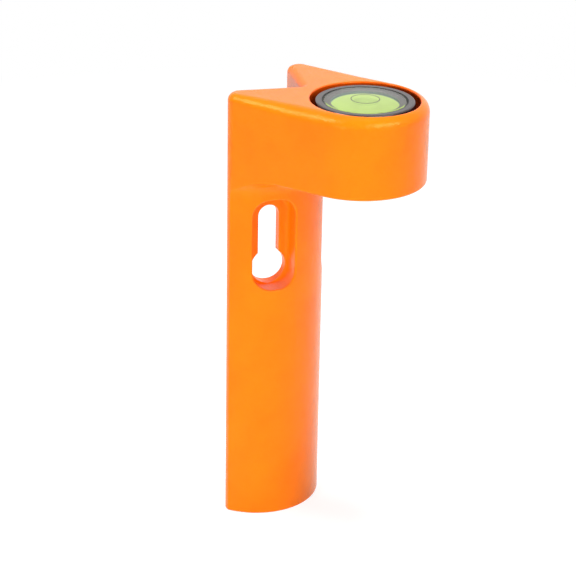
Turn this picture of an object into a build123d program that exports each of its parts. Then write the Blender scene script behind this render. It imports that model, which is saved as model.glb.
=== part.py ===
from build123d import *
import math
import os

os.makedirs("parts", exist_ok=True)

# Casting: a head that carries the vial, over a half-round leg, both notched for a rod's corner
body_height = 117.5
body_radius = 17.0
boss_ahead = 30.1
head_top_round = 3.1
rear_top_round = 2.0
top_round_run = 17.0
head_foot_round = 0.6
leg_foot_round = 0.6
rear_corner_round = 3.2
leg_blend = 5.6

# Notch: two faces at a right angle that sit on the rod's edges
v_land = 4.4
v_root_round = 1.0
v_edge_round = 1.8

# Keyholes: one in each cheek of the leg, set in the floor of a pocket
keyhole_turn = 53.5
keyhole_offset = 1.5
pocket_depth = 5.6
pocket_width = 11.1
pocket_height = 24.65
pocket_drop = 6.4
pocket_corner = 4.6
pocket_floor_round = 1.3
pocket_rim_round = 0.45
lobe_radius = 4.65
lobe_inset = 0.2
slot_width = 5.65
slot_inset = 3.1

# Recess for the vial, bored a little ahead of the boss centre
recess_wall = 3.2
recess_depth = 16.2
recess_floor = 5.0
recess_rim_round = 0.35
recess_ahead = 1.0

# Adjusting screws: three, from below, in counterbored holes of the recess floor
screw_inset = 4.0
screw_radius = 1.5
screw_head_radius = 2.75
screw_head_height = 2.4
screw_head_round = 0.3
screw_tip_chamfer = 0.4
screw_key_radius = 1.25
screw_key_depth = 1.3
screw_grip = 4.0
hole_radius = 1.8
counterbore_radius = 3.2
counterbore_depth = 3.1
washer_inner_radius = 1.65
washer_outer_radius = 2.8
washer_height = 0.5

# Springs: they lift the vial off the recess floor against the screws
spring_radius = 2.3
spring_wire = 0.5
spring_turns = 3.5
spring_pocket_radius = 2.9
spring_pocket_depth = 2.3

# Vial housing: a thick black cup with a stepped mouth
vial_gap = 1.3
vial_height = 13.1
vial_lift = 2.7
lip_round = 0.4
base_chamfer = 0.6
lip_width = 1.7
ledge_width = 2.2
chamber_depth = 2.4
thread_hole_radius = 1.75
thread_hole_spare = 0.6

# Lens: flat disc, domed on top and hollowed below for the bubble
bead_width = 0.35
lens_edge = 2.3
lens_chamfer = 0.25
lens_crown_radius = 150.0
bubble_track_radius = 172.0
gasket_height = 0.4
gasket_width = 1.2
bead_drop = 0.1
ring_radius = 3.7
ring_line = 0.3
ring_depth = 0.15

# Filling: spirit, bubble, bright disc and the plugged filler hole
disc_gap = 0.25
disc_height = 0.6
bubble_radius = 3.2
bubble_height = 0.9
filler_radius = 1.5
plug_radius = 2.5
plug_height = 3.0
plug_key_radius = 1.0
plug_key_depth = 1.4
ball_radius = 1.9

# Clearances: between turning pieces, between pieces that seat, and past a cut's faces
running_gap = 0.1
seat_gap = 0.03
overrun = 1.0

# Widths and places worked out from the sizes above
v_half_width = body_radius - v_land
pocket_floor_distance = body_radius - pocket_depth
recess_radius = body_radius - recess_wall
vial_radius = recess_radius - vial_gap
mouth_radius = vial_radius - lip_width
lens_radius = mouth_radius - bead_width
lens_top_radius = lens_radius - lens_chamfer
chamber_radius = mouth_radius - ledge_width
disc_radius = chamber_radius - disc_gap
screw_circle = vial_radius - screw_inset
head_height = recess_depth + recess_floor
rear_y = (boss_ahead + body_radius) / 2
boss_y = rear_y - boss_ahead
vial_y = boss_y - recess_ahead
underside_z = body_height - head_height
floor_z = body_height - recess_depth
base_z = floor_z + vial_lift
lip_z = base_z + vial_height
pocket_high = underside_z - pocket_drop
pocket_low = pocket_high - pocket_height
lobe_height = pocket_low + lobe_inset + lobe_radius
slot_top = pocket_high - slot_inset
ledge_z = lip_z - lens_edge - gasket_height
chamber_z = ledge_z - chamber_depth
lens_z = ledge_z + gasket_height
track_centre_z = lens_z - math.sqrt(bubble_track_radius**2 - chamber_radius**2)
screw_names = ("front", "right", "left")
screw_angles = {name: -90 + 120 * i for i, name in enumerate(screw_names)}


def band(inner, outer, low, high):
    """A plain ring about the vial's axis, or a disc where inner is zero."""
    solid = extrude(Pos(0, vial_y, low) * Circle(outer), high - low)
    if inner > 0:
        solid -= extrude(Pos(0, vial_y, low) * Circle(inner), high - low)
    return solid


def turned(outline):
    """A solid of revolution about the vial's axis, from an outline in radius and height."""
    return Pos(0, vial_y, 0) * revolve(Plane.XZ * outline, Axis.Z)


def dome_height(radius, centre_z, sphere):
    """Height of a sphere about the vial's axis at a distance from that axis."""
    return centre_z + math.sqrt(sphere**2 - radius**2)


def screw_places():
    """The three screw axes, by name, as points in plan."""
    places = {}
    for name, angle in screw_angles.items():
        turn = math.radians(angle)
        places[name] = (screw_circle * math.cos(turn), vial_y + screw_circle * math.sin(turn))
    return places


def head_plan(corner):
    """Plan of the head: parallel flanks that run into the round boss."""
    plan = Pos(0, rear_y - boss_ahead / 2) * Rectangle(2 * body_radius, boss_ahead)
    plan += Pos(0, boss_y) * Circle(body_radius)
    return fillet(plan.vertices().group_by(Axis.Y)[-1], corner)


def head_block(top_round):
    """The head's outside, rounded alike all along its top."""
    head = extrude(Pos(0, 0, underside_z) * head_plan(rear_corner_round), head_height)
    return fillet(head.edges().group_by(Axis.Z)[-1], top_round)


def head_section(y, top_round):
    """Cross-section of the head between its flanks."""
    section = Pos(0, (underside_z + body_height) / 2) * Rectangle(2 * body_radius, head_height)
    section = fillet(section.vertices().group_by(Axis.Y)[-1], top_round)
    return Plane.XZ.offset(-y) * section


def head_form():
    """The head's outside: its top round grows from the horns to the boss."""
    rear = rear_y - rear_corner_round
    front = rear - top_round_run
    behind = Plane.XZ.offset(-rear)
    ahead = Plane.XZ.offset(-front)
    head = split(head_block(rear_top_round), behind, keep=Keep.BOTTOM)
    head += loft([head_section(rear, rear_top_round), head_section(front, head_top_round)], ruled=True)
    head += split(head_block(head_top_round), ahead, keep=Keep.TOP)
    low_edges = head.edges().group_by(Axis.Z)[0]
    return fillet(low_edges.sort_by(Axis.Y)[:-1], head_foot_round)


def leg_form():
    """The half-round leg, run up into the head."""
    leg_plan = Pos(0, rear_y) * Circle(body_radius)
    leg_plan -= Pos(0, rear_y + body_radius / 2) * Rectangle(2 * body_radius, body_radius)
    return extrude(leg_plan, underside_z + head_height / 2)


def blend_form():
    """The hollow blend between the leg and the head's underside."""
    outer = body_radius + leg_blend
    low = underside_z - leg_blend
    high = underside_z + 2 * head_foot_round
    inner = body_radius - leg_blend
    edge = Polyline((inner, low), (body_radius, low))
    edge += CenterArc((outer, low), leg_blend, 90, 90)
    edge += Polyline((outer, underside_z), (outer, high), (inner, high), (inner, low))
    return Pos(0, rear_y, 0) * revolve(Plane.XZ * make_face(edge), Axis.Z)


def outer_form():
    """The whole outside of the casting, with its rear corners rounded."""
    trim = extrude(head_plan(rear_corner_round), body_height)
    return head_form() + (leg_form() & trim) + (blend_form() & trim)


def v_notch():
    """The right-angled notch down the back, with a rounded root."""
    reach = v_half_width + overrun
    tip = (0, rear_y - v_half_width)
    plan = make_face(Polyline(tip, (reach, rear_y + overrun), (-reach, rear_y + overrun), tip))
    plan = fillet(plan.vertices().group_by(Axis.Y)[0], v_root_round)
    return extrude(Pos(0, 0, -overrun) * plan, body_height + 2 * overrun)


def keyhole_cut():
    """Pocket and keyhole in the left cheek, square to their own slanted plane."""
    turn = math.radians(keyhole_turn)
    out = Vector(-math.cos(turn), -math.sin(turn), 0)
    across = Vector(math.sin(turn), -math.cos(turn), 0)
    origin = Vector(0, rear_y, 0) + out * pocket_floor_distance - across * keyhole_offset
    plane = Plane(origin=origin, x_dir=across, z_dir=out)
    pocket_plan = RectangleRounded(pocket_width, pocket_height, pocket_corner)
    pocket_plan = Pos(0, (pocket_low + pocket_high) / 2) * pocket_plan
    pocket = extrude(plane * pocket_plan, body_radius)
    pocket = fillet(pocket.edges().group_by(Axis(origin, out))[0], pocket_floor_round)
    slot_end = slot_top - slot_width / 2
    key_plan = Pos(0, lobe_height) * Circle(lobe_radius)
    key_plan += Pos(0, slot_end) * Circle(slot_width / 2)
    key_plan += Pos(0, (lobe_height + slot_end) / 2) * Rectangle(slot_width, slot_end - lobe_height)
    inward = pocket_floor_round + pocket_floor_distance - v_half_width / 2
    return pocket + extrude(plane.offset(pocket_floor_round) * key_plan, -inward)


def screw_passage(x, y):
    """Clear hole and counterbore for one adjusting screw."""
    hole = extrude(Pos(x, y, underside_z - overrun) * Circle(hole_radius), head_height)
    seat = extrude(Pos(x, y, underside_z - overrun) * Circle(counterbore_radius), counterbore_depth + overrun)
    return hole + seat


def notched_form():
    """The outside with its notch, the notch's edges rounded from the foot over the top."""
    solid = outer_form() - v_notch()
    behind = solid.edges().group_by(Axis.Z)[-1].filter_by(lambda edge: edge.center().Y > boss_y)
    ends = rear_top_round + v_edge_round
    notch_edges = behind.filter_by(lambda edge: edge.center().Y < rear_y - ends)
    solid = fillet(notch_edges.filter_by(lambda edge: abs(edge.center().X) < v_half_width), v_edge_round)
    return fillet(solid.edges().group_by(Axis.Z)[0], leg_foot_round)


def with_recess(solid):
    """The casting's form with the vial's recess, its rim softly rounded."""
    bore = extrude(Pos(0, vial_y, floor_z) * Circle(recess_radius), recess_depth + overrun)
    bored = solid - bore
    rim = new_edges(solid, bore, combined=bored).filter_by(lambda edge: edge.center().Z > floor_z + vial_lift)
    return fillet(rim, recess_rim_round)


def with_keyhole(solid, cut):
    """The casting's form with one pocket and keyhole, the pocket's rim softly rounded."""
    pierced = solid - cut
    rim = new_edges(solid, cut, combined=pierced).filter_by(
        lambda edge: math.hypot(edge.center().X, edge.center().Y - rear_y) > pocket_floor_distance
    )
    return fillet(rim, pocket_rim_round)


def make_body():
    """The casting."""
    solid = with_recess(notched_form())
    for x, y in screw_places().values():
        solid -= screw_passage(x, y)
    cut = keyhole_cut()
    return with_keyhole(with_keyhole(solid, cut), mirror(cut, about=Plane.YZ))


def make_housing():
    """The vial's cup, with its chamber, mouth, filler hole and three screw bosses."""
    cup = band(0, vial_radius, base_z, lip_z)
    cup = fillet(cup.edges().group_by(Axis.Z)[-1], lip_round)
    cup = chamfer(cup.edges().group_by(Axis.Z)[0], base_chamfer)
    cup -= band(0, mouth_radius, ledge_z, lip_z + overrun)
    cup -= band(0, chamber_radius, chamber_z, lip_z)
    cup -= band(0, filler_radius, base_z - overrun, lip_z)
    cup -= band(0, plug_radius + seat_gap, base_z - overrun, base_z + plug_height + 2 * ball_radius)
    thread_top = base_z + spring_pocket_depth + screw_grip + thread_hole_spare
    for x, y in screw_places().values():
        low = base_z - overrun
        cup -= extrude(Pos(x, y, low) * Circle(spring_pocket_radius), spring_pocket_depth + overrun)
        cup -= extrude(Pos(x, y, low) * Circle(thread_hole_radius), thread_top - low)
    return cup


def make_lens():
    """The clear disc over the spirit."""
    high = lens_z + lens_edge
    rise = lens_crown_radius - math.sqrt(lens_crown_radius**2 - lens_top_radius**2)
    sag = bubble_track_radius - math.sqrt(bubble_track_radius**2 - chamber_radius**2)
    edge = Polyline((0, lens_z + sag), (0, high + rise))
    edge += RadiusArc((0, high + rise), (lens_top_radius, high), lens_crown_radius)
    edge += Polyline((lens_top_radius, high), (lens_radius, high - lens_chamfer), (lens_radius, lens_z))
    edge += Line((lens_radius, lens_z), (chamber_radius, lens_z))
    edge += RadiusArc((chamber_radius, lens_z), (0, lens_z + sag), -bubble_track_radius)
    disc = turned(make_face(edge))
    groove = band(ring_radius - ring_line, ring_radius, ring_floor(), high + rise + overrun)
    return disc - groove


def ring_floor():
    """Bottom of the groove that holds the centre ring's paint."""
    centre = lens_z + lens_edge - math.sqrt(lens_crown_radius**2 - lens_top_radius**2)
    return dome_height(ring_radius, centre, lens_crown_radius) - ring_depth


def make_centre_ring():
    """The black ring that the bubble is centred in."""
    low = ring_floor()
    return band(ring_radius - ring_line + seat_gap, ring_radius - seat_gap, low, low + ring_depth)


def make_gasket():
    """Flat gasket between the housing's ledge and the lens."""
    return band(chamber_radius, chamber_radius + gasket_width, ledge_z, lens_z)


def make_bead():
    """Black bead that fills the joint round the lens."""
    return band(lens_radius + seat_gap, mouth_radius - seat_gap, ledge_z, lip_z - bead_drop)


def make_disc():
    """Bright disc on the chamber's floor."""
    return band(0, disc_radius, chamber_z, chamber_z + disc_height)


def bubble_form(grown):
    """The bubble's lens-shaped solid under the dome, or the hole it needs if grown."""
    radius = bubble_radius + 3 * grown
    sphere = bubble_track_radius - seat_gap + grown
    rim_z = dome_height(radius, track_centre_z, sphere)
    crown_z = track_centre_z + sphere
    low_z = crown_z - bubble_height - 2 * grown
    edge = Polyline((0, low_z), (0, crown_z))
    edge += RadiusArc((0, crown_z), (radius, rim_z), sphere)
    drop = rim_z - low_z
    edge += RadiusArc((radius, rim_z), (0, low_z), (radius**2 + drop**2) / (2 * drop))
    return turned(make_face(edge))


def make_fluid():
    """The green spirit, shaped round the bubble."""
    radius = chamber_radius - seat_gap
    low = chamber_z + disc_height
    sphere = bubble_track_radius - seat_gap
    side_z = dome_height(radius, track_centre_z, sphere)
    edge = Polyline((0, track_centre_z + sphere), (0, low), (radius, low), (radius, side_z))
    edge += RadiusArc((radius, side_z), (0, track_centre_z + sphere), -sphere)
    return turned(make_face(edge)) - bubble_form(seat_gap)


def make_plug():
    """Socket screw that closes the filler hole."""
    plug = band(0, plug_radius, base_z, base_z + plug_height)
    key = Pos(0, vial_y, base_z) * RegularPolygon(plug_key_radius, 6, major_radius=False)
    return plug - extrude(key, plug_key_depth)


def make_ball():
    """Rubber ball that the plug presses on the filler hole."""
    return Pos(0, vial_y, base_z + plug_height + ball_radius) * Sphere(ball_radius)


def make_screw(x, y):
    """One adjusting screw, its head just under the washer."""
    head_top = underside_z + counterbore_depth - washer_height - running_gap
    head = extrude(Pos(x, y, head_top - screw_head_height) * Circle(screw_head_radius), screw_head_height)
    head = fillet(head.edges().group_by(Axis.Z)[0], screw_head_round)
    key = Pos(x, y, head_top - screw_head_height) * RegularPolygon(screw_key_radius, 6, major_radius=False)
    head -= extrude(key, screw_key_depth)
    tip = base_z + spring_pocket_depth + screw_grip
    shank = extrude(Pos(x, y, head_top) * Circle(screw_radius), tip - head_top)
    shank = chamfer(shank.edges().group_by(Axis.Z)[-1], screw_tip_chamfer)
    return head + shank


def make_washer(x, y):
    """Washer between a screw's head and its counterbore."""
    low = underside_z + counterbore_depth - washer_height
    face = Circle(washer_outer_radius) - Circle(washer_inner_radius)
    return extrude(Pos(x, y, low) * face, washer_height)


def make_spring(x, y):
    """Open coil of square wire round a screw, from the recess floor into the housing."""
    length = vial_lift + spring_pocket_depth - spring_wire - 2 * seat_gap
    path = Helix(length / spring_turns, length, spring_radius)
    start = Plane(origin=path @ 0, x_dir=(1, 0, 0), z_dir=path % 0)
    coil = sweep(start * Rectangle(spring_wire, spring_wire), path, is_frenet=True)
    return Pos(x, y, floor_z + spring_wire / 2 + seat_gap) * coil


def all_nodes():
    """Every piece, by its node's name."""
    nodes = {
        "body_casting": make_body(),
        "vial_housing": make_housing(),
        "vial_lens": make_lens(),
        "lens_gasket": make_gasket(),
        "lens_bead": make_bead(),
        "centre_ring": make_centre_ring(),
        "backing_disc": make_disc(),
        "vial_fluid": make_fluid(),
        "vial_bubble": bubble_form(0),
        "filler_plug": make_plug(),
        "filler_ball": make_ball(),
    }
    for name, (x, y) in screw_places().items():
        nodes[f"{name}_adjusting_screw"] = make_screw(x, y)
        nodes[f"{name}_screw_washer"] = make_washer(x, y)
        nodes[f"{name}_vial_spring"] = make_spring(x, y)
    return nodes


for node_name, node_solid in all_nodes().items():
    export_step(node_solid, f"parts/{node_name}.step")
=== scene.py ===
import math

import bpy
from mathutils import Matrix, Vector


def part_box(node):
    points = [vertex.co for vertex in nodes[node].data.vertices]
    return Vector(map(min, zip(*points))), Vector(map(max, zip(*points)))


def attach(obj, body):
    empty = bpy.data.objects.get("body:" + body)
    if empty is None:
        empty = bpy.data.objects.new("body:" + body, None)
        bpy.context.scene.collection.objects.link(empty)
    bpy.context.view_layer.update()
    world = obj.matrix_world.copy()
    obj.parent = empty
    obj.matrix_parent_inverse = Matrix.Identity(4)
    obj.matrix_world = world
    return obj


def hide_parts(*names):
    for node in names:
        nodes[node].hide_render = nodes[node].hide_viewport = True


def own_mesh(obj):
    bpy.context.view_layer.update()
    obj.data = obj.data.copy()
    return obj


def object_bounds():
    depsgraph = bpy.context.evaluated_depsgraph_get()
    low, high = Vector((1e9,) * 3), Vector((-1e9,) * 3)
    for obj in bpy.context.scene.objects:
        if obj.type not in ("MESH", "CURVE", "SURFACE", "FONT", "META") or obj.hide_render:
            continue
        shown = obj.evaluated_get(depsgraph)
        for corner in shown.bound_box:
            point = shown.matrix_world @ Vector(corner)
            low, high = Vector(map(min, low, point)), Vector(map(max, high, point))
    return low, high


MM = 0.001

# Camera, as found from the photograph's outline
CAMERA_TURN = -57.897
CAMERA_RISE = 23.173
CAMERA_ROLL = 1.057
CAMERA_DISTANCE = 581.2 * MM
FOCAL_PIXELS = 2100.0
IMAGE_SIZE = 576
AIM_PIXEL = (255.25, 483.397)
SENSOR = 36.0
CLIP_NEAR = 0.01
CLIP_FAR = 20

# Lamps: place, width, height, power, whether they light colour, whether they show in gloss
LAMPS = {
    "rear": ((-0.6, 0.48, 0.84), 0.4, 0.5, 6.6, False, True),
    "front": ((-0.24, -0.87, 0.5), 0.7, 0.7, 5.5, True, False),
    "front_gloss": ((-0.22, -0.82, 0.6), 0.9, 0.35, 8.0, False, True),
    "top": ((0.0, 0.0, 1.3), 0.4, 0.4, 18.5, True, False),
    "side": ((-0.99, 0.03, 0.15), 0.4, 0.4, 7.2, True, False),
    "far": ((0.95, 0.6, 0.3), 0.6, 0.6, 4.5, True, False),
}
LAMP_AIM = (0, 0, 0.07)

# World: its own light on the object; it shows as white at any level
WORLD_LEVEL = 0.0

# Floor: it holds the shadow within the first distance and is plain white beyond the second
FLOOR_SIZE = 6.0
SHADOW_REACH = (0.12, 0.4)
FLOOR_LIT = (0.8, 0.8, 0.8, 1.0)  # what it gives back to the object
FLOOR_SHOWN = (0.35, 0.35, 0.35, 1.0)  # what carries the shadow
FLOOR_GLOW = 0.8  # what lifts that to white outside the shadow
WHITE = (1.0, 1.0, 1.0, 1.0)

# Powder coat: patches of two shades, a painted shade that darkens the recess as shadow would,
# orange peel and grain
COAT_SHADES = ("ff7608", "ff7c0a")
# Painted shade: a darker orange laid on the recess's wall and floor, standing in for the shadow
# there
COAT_PAINTED_RECESS_SHADE = "e85204"
COAT_SHEEN = "ffc47c"
COAT_INDEX = 1.45
COAT_ROUGHNESS = (0.19, 0.25)
PATCH_SCALE = 90.0
PATCH_DETAIL = 3.0
PATCH_SPAN = (0.35, 0.65)  # noise values between which one shade turns into the other
GRAIN_SCALE = 400.0
PEEL_SCALE = 1300.0
PEEL_STRENGTH = 0.6
PEEL_HEIGHT = 0.2 * MM

# Recess: its bore, the height of its floor, and how softly the painted shade ends at either
RECESS_RADIUS = 13.8 * MM
RECESS_FLOOR = 101.3 * MM
RECESS_SHADE_SIDE_BLEND = 0.4 * MM
RECESS_SHADE_FLOOR_BLEND = 0.1 * MM

# Plain materials: scale of their faint mottling, and its darker shade
MOTTLE_SCALE = 300.0
MOTTLE_SHADE = 0.9

# Noise values between which the grain and the mottling change
NOISE_SPAN = (0.3, 0.7)

# Lens: chamfer round its top, the sphere that its top is part of, and the rings it is cut into
LENS_CHAMFER = 0.25 * MM
LENS_CROWN = 150.0 * MM
CROWN_RINGS = 8

# Vial glass: room to the solids round it, so that no two faces lie in one plane
GLASS_ROOM = 0.03 * MM
CLEAR, SEAT, WALL = 0, 1, 2  # its material slots

# Turned meshes: steps round the circle, and the angle from which an edge is sharp
TURN_STEPS = 128
SHARP_ANGLE = 25

# Rays that show a surface, as against those that carry light to it
SEEN_RAYS = ("Is Camera Ray", "Is Glossy Ray", "Is Transmission Ray")

# The mix node's factor, its two colours and its result
MIX_FACTOR, MIX_FIRST, MIX_SECOND = 0, 6, 7
MIX_RESULT = 2


def linear(code):
    """A colour written as six hex digits, as the linear colour that a shader takes."""
    made = []
    for i in (0, 2, 4):
        c = int(code[i : i + 2], 16) / 255
        made.append(c / 12.92 if c <= 0.04045 else ((c + 0.055) / 1.055) ** 2.4)
    return (*made, 1.0)


def make_camera(aim):
    """Camera that sees aim at AIM_PIXEL, from the fitted direction and distance."""
    turn, rise = math.radians(CAMERA_TURN), math.radians(CAMERA_RISE)
    roll = math.radians(CAMERA_ROLL)
    level = math.cos(rise)
    back = Vector((math.sin(turn) * level, -math.cos(turn) * level, math.sin(rise)))
    right = Vector((math.cos(turn), math.sin(turn), 0.0))
    up = back.cross(right)
    across = right * math.cos(roll) + up * math.sin(roll)
    upward = up * math.cos(roll) - right * math.sin(roll)
    u = (AIM_PIXEL[0] - IMAGE_SIZE / 2) / FOCAL_PIXELS
    v = (IMAGE_SIZE / 2 - AIM_PIXEL[1]) / FOCAL_PIXELS
    place = aim + (back - across * u - upward * v) * CAMERA_DISTANCE
    data = bpy.data.cameras.new("camera")
    data.sensor_width = SENSOR
    data.lens = FOCAL_PIXELS / IMAGE_SIZE * SENSOR
    data.clip_start, data.clip_end = CLIP_NEAR, CLIP_FAR
    camera = bpy.data.objects.new("camera", data)
    rows = zip(across, upward, back, place)
    camera.matrix_world = Matrix([*rows, (0, 0, 0, 1)])
    bpy.context.scene.collection.objects.link(camera)
    bpy.context.scene.camera = camera


class Nodes:
    """A material's node tree, with short calls to add and join nodes."""

    def __init__(self, name):
        self.material = bpy.data.materials.new(name)
        self.material.use_nodes = True
        self.tree = self.material.node_tree
        self.tree.nodes.clear()
        self.out = self.add("ShaderNodeOutputMaterial")

    def add(self, kind, **values):
        """A node, with values for its sockets, or else for its settings."""
        node = self.tree.nodes.new(kind)
        for key, value in values.items():
            socket = key.replace("_", " ")
            if socket in node.inputs:
                self.put(node.inputs[socket], value)
            else:
                setattr(node, key, value)
        return node

    def put(self, socket, value):
        """Join another node's socket to this one, or set its value."""
        if isinstance(value, bpy.types.NodeSocket):
            self.tree.links.new(value, socket)
        else:
            socket.default_value = value

    def show(self, node):
        """Let this shader make the surface."""
        self.put(self.out.inputs["Surface"], node.outputs[0])

    def place(self):
        return self.add("ShaderNodeTexCoord").outputs["Object"]

    def noise(self, scale, detail=2.0):
        node = self.add("ShaderNodeTexNoise", Scale=scale, Detail=detail)
        self.put(node.inputs["Vector"], self.place())
        return node.outputs["Fac"]

    def reach(self, x, y):
        """Distance from the vertical line through this point."""
        moved = self.add("ShaderNodeVectorMath", operation="SUBTRACT")
        flat = self.add("ShaderNodeVectorMath", operation="MULTIPLY")
        length = self.add("ShaderNodeVectorMath", operation="LENGTH")
        self.put(moved.inputs[0], self.place())
        self.put(moved.inputs[1], (x, y, 0))
        self.put(flat.inputs[0], moved.outputs[0])
        self.put(flat.inputs[1], (1, 1, 0))
        self.put(length.inputs[0], flat.outputs[0])
        return length.outputs["Value"]

    def height(self):
        node = self.add("ShaderNodeSeparateXYZ")
        self.put(node.inputs[0], self.place())
        return node.outputs["Z"]

    def product(self, first, second):
        node = self.add("ShaderNodeMath", operation="MULTIPLY")
        self.put(node.inputs[0], first)
        self.put(node.inputs[1], second)
        return node.outputs[0]

    def spread(self, value, low, high, to_low=0.0, to_high=1.0):
        """The value, taken from the range low to high into the range to_low to to_high."""
        node = self.add("ShaderNodeMapRange")
        ends = {"From Min": low, "From Max": high, "To Min": to_low, "To Max": to_high}
        for key, end in ends.items():
            node.inputs[key].default_value = end
        self.put(node.inputs["Value"], value)
        return node.outputs["Result"]

    def mix(self, factor, first, second):
        node = self.add("ShaderNodeMix", data_type="RGBA")
        self.put(node.inputs[MIX_FACTOR], factor)
        self.put(node.inputs[MIX_FIRST], first)
        self.put(node.inputs[MIX_SECOND], second)
        return node.outputs[MIX_RESULT]

    def bump(self, height, strength, distance):
        node = self.add("ShaderNodeBump", Strength=strength, Distance=distance)
        self.put(node.inputs["Height"], height)
        return node.outputs["Normal"]

    def blend_shaders(self, factor, first, second):
        """One shader where the factor is zero, another where it is one."""
        node = self.add("ShaderNodeMixShader")
        self.put(node.inputs[0], factor)
        self.put(node.inputs[1], first.outputs[0])
        self.put(node.inputs[2], second.outputs[0])
        return node


def any_ray(tree, kinds):
    """One where a ray is of one of these kinds, and zero elsewhere."""
    ray = tree.nodes.new("ShaderNodeLightPath")
    total = ray.outputs[kinds[0]]
    for kind in kinds[1:]:
        either = tree.nodes.new("ShaderNodeMath")
        either.operation = "MAXIMUM"
        tree.links.new(total, either.inputs[0])
        tree.links.new(ray.outputs[kind], either.inputs[1])
        total = either.outputs[0]
    return total


def powder_coat():
    """Satin orange powder coat with a faint orange peel, with painted shade darkening the recess.
    """
    n = Nodes("powder_coat")
    patches = n.spread(n.noise(PATCH_SCALE, PATCH_DETAIL), *PATCH_SPAN)
    colour = n.mix(patches, *map(linear, COAT_SHADES))
    (left, near, _), (right, far, _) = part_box("vial_housing")
    from_axis = n.reach((left + right) / 2, (near + far) / 2)
    # Painted shade: inside the recess's bore and above its floor the colour is mixed towards a
    # darker orange, as shadow would darken it
    shaded_bore = n.spread(from_axis, RECESS_RADIUS, RECESS_RADIUS + RECESS_SHADE_SIDE_BLEND, 1.0, 0.0)
    shaded_above_floor = n.spread(n.height(), RECESS_FLOOR - RECESS_SHADE_FLOOR_BLEND, RECESS_FLOOR)
    colour = n.mix(n.product(shaded_bore, shaded_above_floor), colour, linear(COAT_PAINTED_RECESS_SHADE))
    coat = n.add(
        "ShaderNodeBsdfPrincipled",
        Base_Color=colour,
        Roughness=n.spread(n.noise(GRAIN_SCALE), *NOISE_SPAN, *COAT_ROUGHNESS),
        Normal=n.bump(n.noise(PEEL_SCALE), PEEL_STRENGTH, PEEL_HEIGHT),
        IOR=COAT_INDEX,
        Specular_Tint=linear(COAT_SHEEN),
    )
    n.show(coat)
    return n.material


def plain(name, code, roughness, **more):
    """One colour with a faint mottling."""
    n = Nodes(name)
    bright = linear(code)
    dark = (*(c * MOTTLE_SHADE for c in bright[:3]), 1.0)
    colour = n.mix(n.spread(n.noise(MOTTLE_SCALE), *NOISE_SPAN), dark, bright)
    n.show(n.add("ShaderNodeBsdfPrincipled", Base_Color=colour, Roughness=roughness, **more))
    return n.material


def clear(name, code, index):
    """Clear gloss that lets lamp light and soft light through to what lies under it."""
    n = Nodes(name)
    passing = any_ray(n.tree, ("Is Shadow Ray", "Is Diffuse Ray"))
    gloss = n.add(
        "ShaderNodeBsdfPrincipled",
        Base_Color=linear(code),
        Roughness=0.0,
        IOR=index,
        Transmission_Weight=1.0,
        Alpha=n.spread(passing, 0.0, 1.0, 1.0, 0.0),
    )
    n.show(gloss)
    return n.material


def make_floor():
    """Pale floor that shows white and keeps the object's shadow."""
    bpy.ops.mesh.primitive_plane_add(size=FLOOR_SIZE)
    floor = bpy.context.object
    floor.name = "floor"
    n = Nodes("floor")
    near = n.add("ShaderNodeAddShader")
    shown = n.add("ShaderNodeBsdfDiffuse", Color=FLOOR_SHOWN)
    glow = n.add("ShaderNodeEmission", Color=WHITE, Strength=FLOOR_GLOW)
    n.put(near.inputs[0], shown.outputs[0])
    n.put(near.inputs[1], glow.outputs[0])
    far = n.add("ShaderNodeEmission", Color=WHITE, Strength=1.0)
    seen = n.blend_shaders(n.spread(n.reach(0.0, 0.0), *SHADOW_REACH), near, far)
    lit = n.add("ShaderNodeBsdfDiffuse", Color=FLOOR_LIT)
    n.show(n.blend_shaders(any_ray(n.tree, SEEN_RAYS), lit, seen))
    floor.data.materials.append(n.material)


def make_world(level):
    """World that lights at this level and shows as white."""
    world = bpy.data.worlds.new("world")
    bpy.context.scene.world = world
    world.use_nodes = True
    tree = world.node_tree
    tree.nodes.clear()
    out = tree.nodes.new("ShaderNodeOutputWorld")
    both = tree.nodes.new("ShaderNodeMixShader")
    tree.links.new(any_ray(tree, SEEN_RAYS), both.inputs[0])
    for place, strength in enumerate((level, 1.0), start=1):
        sky = tree.nodes.new("ShaderNodeBackground")
        sky.inputs["Color"].default_value = WHITE
        sky.inputs["Strength"].default_value = strength
        tree.links.new(sky.outputs[0], both.inputs[place])
    tree.links.new(both.outputs[0], out.inputs[0])


def make_lamp(name, place, width, height, power, in_colour, in_gloss):
    data = bpy.data.lights.new(name, "AREA")
    data.shape, data.energy = "RECTANGLE", power
    data.size, data.size_y = width, height
    lamp = bpy.data.objects.new(name, data)
    lamp.location = place
    lamp.visible_diffuse, lamp.visible_glossy = in_colour, in_gloss
    aim = Vector(LAMP_AIM) - Vector(place)
    lamp.rotation_euler = aim.to_track_quat("-Z", "Y").to_euler()
    bpy.context.scene.collection.objects.link(lamp)


def dress(nodes, material, *names):
    """Give the named pieces this material and no other."""
    for name in names:
        slots = nodes[name].data.materials
        slots.clear()
        slots.append(material)


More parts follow.
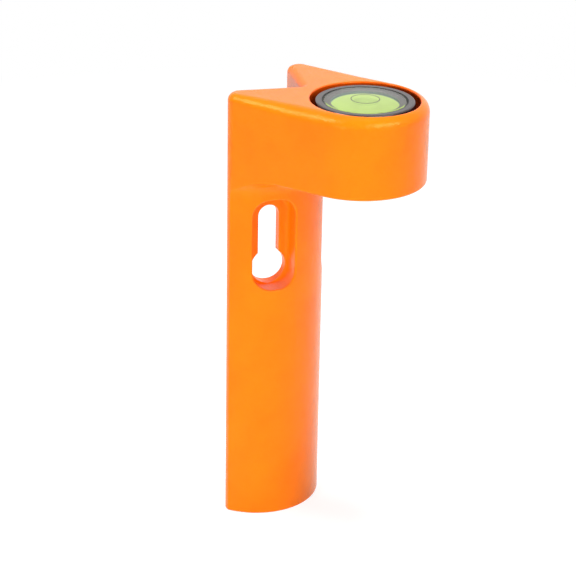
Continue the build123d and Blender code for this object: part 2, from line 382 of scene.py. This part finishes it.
def revolved(name, profile, centre, slots):
    """A closed mesh turned about the vertical line through centre, from radius and height pairs.

    slots gives each band of the profile its material's place.
    """
    verts, faces, rings, places = [], [], [], []
    for radius, height in profile:
        if radius == 0:
            rings.append([len(verts)])
            verts.append((centre[0], centre[1], height))
            continue
        rings.append(list(range(len(verts), len(verts) + TURN_STEPS)))
        for i in range(TURN_STEPS):
            turn = 2 * math.pi * i / TURN_STEPS
            x = centre[0] + radius * math.cos(turn)
            y = centre[1] + radius * math.sin(turn)
            verts.append((x, y, height))
    for upper, lower, slot in zip(rings, rings[1:], slots):
        for i in range(TURN_STEPS):
            corners = ((upper, i), (lower, i), (lower, i + 1), (upper, i + 1))
            quad = [ring[k % len(ring)] for ring, k in corners]
            faces.append(list(dict.fromkeys(quad)))
            places.append(slot)
    mesh = bpy.data.meshes.new(name)
    mesh.from_pydata(verts, [], faces)
    mesh.polygons.foreach_set("material_index", places)
    mesh.shade_smooth()
    mesh.set_sharp_from_angle(angle=math.radians(SHARP_ANGLE))
    piece = bpy.data.objects.new(name, mesh)
    bpy.context.scene.collection.objects.link(piece)
    return piece


def vial_glass():
    """Lens and spirit in one clear piece, so that no gap of air shows between them.

    Its edge, its seat and the chamber's wall are opaque, as a bonded lens and a wetted wall look.
    Its floor is opaque too and lies just inside the backing disc.
    """
    (left, near, low), (right, far, high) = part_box("vial_lens")
    spirit_low, spirit_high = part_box("vial_fluid")
    lens_radius = (right - left) / 2 - GLASS_ROOM
    chamber_radius = (spirit_high[0] - spirit_low[0]) / 2 - GLASS_ROOM
    low += GLASS_ROOM
    floor = spirit_low[2] - GLASS_ROOM
    top_radius = lens_radius - LENS_CHAMFER
    crown = high - LENS_CROWN
    profile = [(0, high)]
    for i in range(1, CROWN_RINGS + 1):
        radius = top_radius * i / CROWN_RINGS
        profile.append((radius, crown + math.sqrt(LENS_CROWN**2 - radius**2)))
    edge = profile[-1][1]
    profile += [(lens_radius, edge - LENS_CHAMFER), (lens_radius, low), (chamber_radius, low)]
    profile += [(chamber_radius, floor), (0, floor)]
    slots = [CLEAR] * (CROWN_RINGS + 1) + [SEAT, SEAT, WALL, WALL]
    piece = revolved("vial_glass", profile, ((left + right) / 2, (near + far) / 2), slots)
    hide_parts("vial_lens", "vial_fluid")
    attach(piece, "vial")
    piece.data.materials.append(clear("vial_glass", "f2f8ec", index=1.42))
    piece.data.materials.append(plain("lens_seat", "4a4644", roughness=0.6))
    piece.data.materials.append(plain("wetted_wall", "56707a", roughness=0.6))


def front_spring(cad, material):
    """The front spring as a coil of its own, a copy of its piece, held by the casting."""
    coil = bpy.data.objects.new("front_spring_coil", cad.data.copy())
    bpy.context.scene.collection.objects.link(coil)
    coil.data.materials.clear()
    coil.data.materials.append(material)
    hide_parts(cad.name)
    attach(coil, "casting")
    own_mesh(coil)


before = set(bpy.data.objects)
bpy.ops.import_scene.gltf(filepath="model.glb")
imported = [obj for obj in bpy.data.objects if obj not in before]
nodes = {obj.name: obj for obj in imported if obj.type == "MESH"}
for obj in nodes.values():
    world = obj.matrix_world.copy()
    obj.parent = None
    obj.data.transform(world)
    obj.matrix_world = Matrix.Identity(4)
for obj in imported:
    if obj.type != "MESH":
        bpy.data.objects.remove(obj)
cad_low, cad_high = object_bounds()

make_camera(Vector((0.0, cad_high[1], 0.0)))
make_floor()
make_world(WORLD_LEVEL)
for lamp, facts in LAMPS.items():
    make_lamp(lamp, *facts)

bpy.context.scene.view_settings.view_transform = "Standard"

dress(nodes, powder_coat(), "body_casting")
dress(nodes, plain("housing_black", "3c3434", roughness=0.16), "vial_housing")
bead = plain("bead_black", "080808", roughness=0.5)
dress(nodes, bead, "lens_bead", "lens_gasket", "filler_ball")
dress(nodes, plain("ring_black", "181a14", roughness=0.4), "centre_ring")
dress(nodes, plain("disc_lime", "aec664", roughness=0.5), "backing_disc")
vial_glass()
dress(nodes, clear("gas", "f4f8f4", index=1.04), "vial_bubble")
steel = plain("steel", "b8b6b0", roughness=0.3, Metallic=1.0)
for side in ("front", "right", "left"):
    dress(nodes, steel, f"{side}_adjusting_screw", f"{side}_screw_washer", f"{side}_vial_spring")
front_spring(nodes["front_vial_spring"], steel)
dress(nodes, plain("brass", "c8a050", roughness=0.3, Metallic=1.0), "filler_plug")
